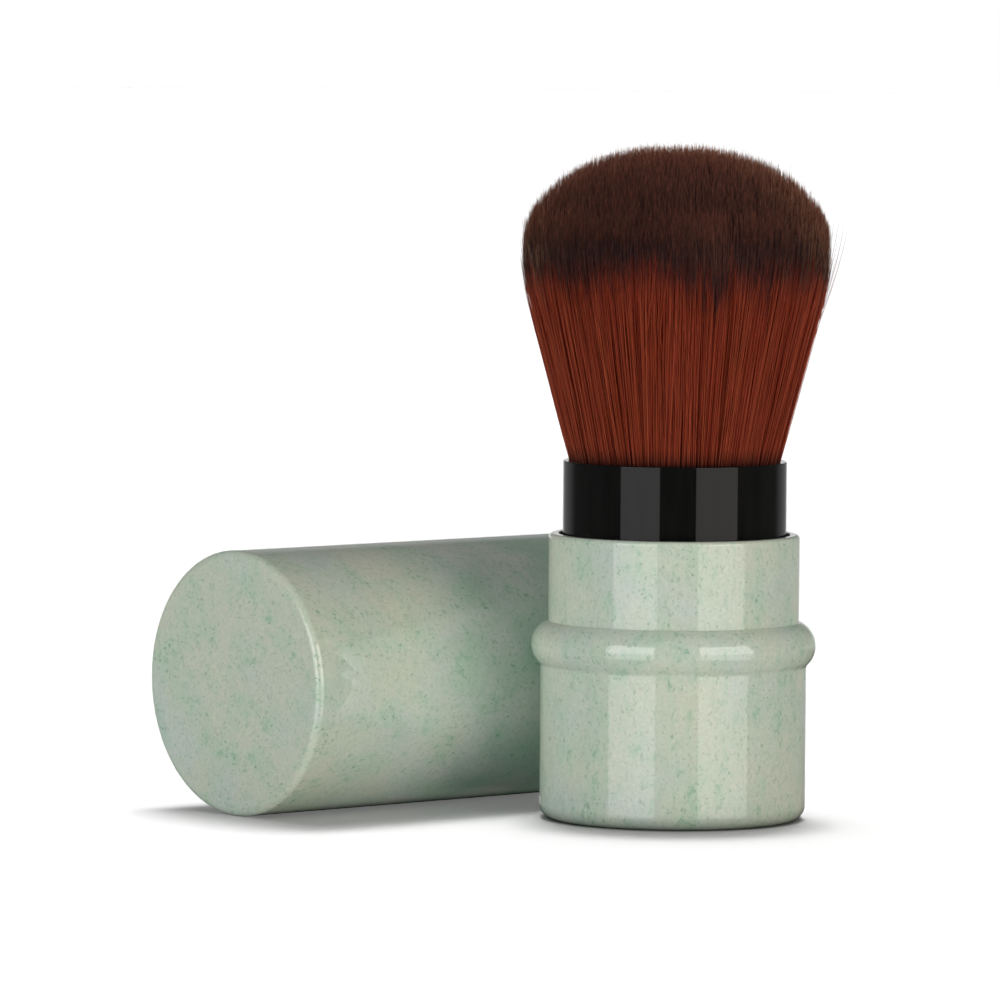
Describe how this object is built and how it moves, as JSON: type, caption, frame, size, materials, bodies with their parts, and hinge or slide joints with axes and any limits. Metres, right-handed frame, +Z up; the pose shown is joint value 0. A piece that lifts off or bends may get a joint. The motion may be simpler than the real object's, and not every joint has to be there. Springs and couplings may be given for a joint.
{
  "type": "retractable makeup brush",
  "caption": "Stubby domed powder brush whose sliding sleeve rises over the hair, with its pull-off cap lying beside it.",
  "frame": {"origin": "centre of the brush's underside, on the surface that it stands on", "axes": "+Z up along the brush's axis, through the hair; the picture looks roughly along +Y with +X to the right, and the cap lies on the -X side, running back past the brush"},
  "size_m": [0.0869, 0.0734, 0.0859],
  "materials": {
    "speckled_plastic": "glossy, pale grey-green with fine green flecks",
    "black_gloss_plastic": "glossy black",
    "black_moulding": "plain black moulding",
    "black_rubber": "matt",
    "zinc_steel": "zinc plated",
    "white_disc": "fine matt",
    "aluminium_cup": "drawn, satin",
    "resin": "cured clear-brown resin",
    "hair": "synthetic hair, orange-brown below and dark brown above"
  },
  "bodies": {
    "base": {"base_cup": "speckled_plastic", "neck_tube": "speckled_plastic", "guide_bush": "black_moulding", "core_post": "black_moulding", "post_screw": "zinc_steel", "base_disc": "white_disc", "hair_cup": "aluminium_cup", "hair_root_plug": "resin", "bristles": "hair"},
    "sleeve": {"sleeve": "black_gloss_plastic", "sleeve_foot_ring": "black_moulding", "friction_ring": "black_rubber"},
    "cap": {"cap_shell": "speckled_plastic"}
  },
  "joints": [
    {"name": "sleeve_slide", "type": "slide", "parent": "base", "child": "sleeve", "axis": [0, 0, 1], "range_m": [0, 0.027], "deforming": ["bristles"]},
    {"name": "cap_slide", "type": "slide", "parent": "base", "child": "cap", "axis": [-0.7478, -0.6639, 0], "range_m": [0, 0.06]}
  ]
}
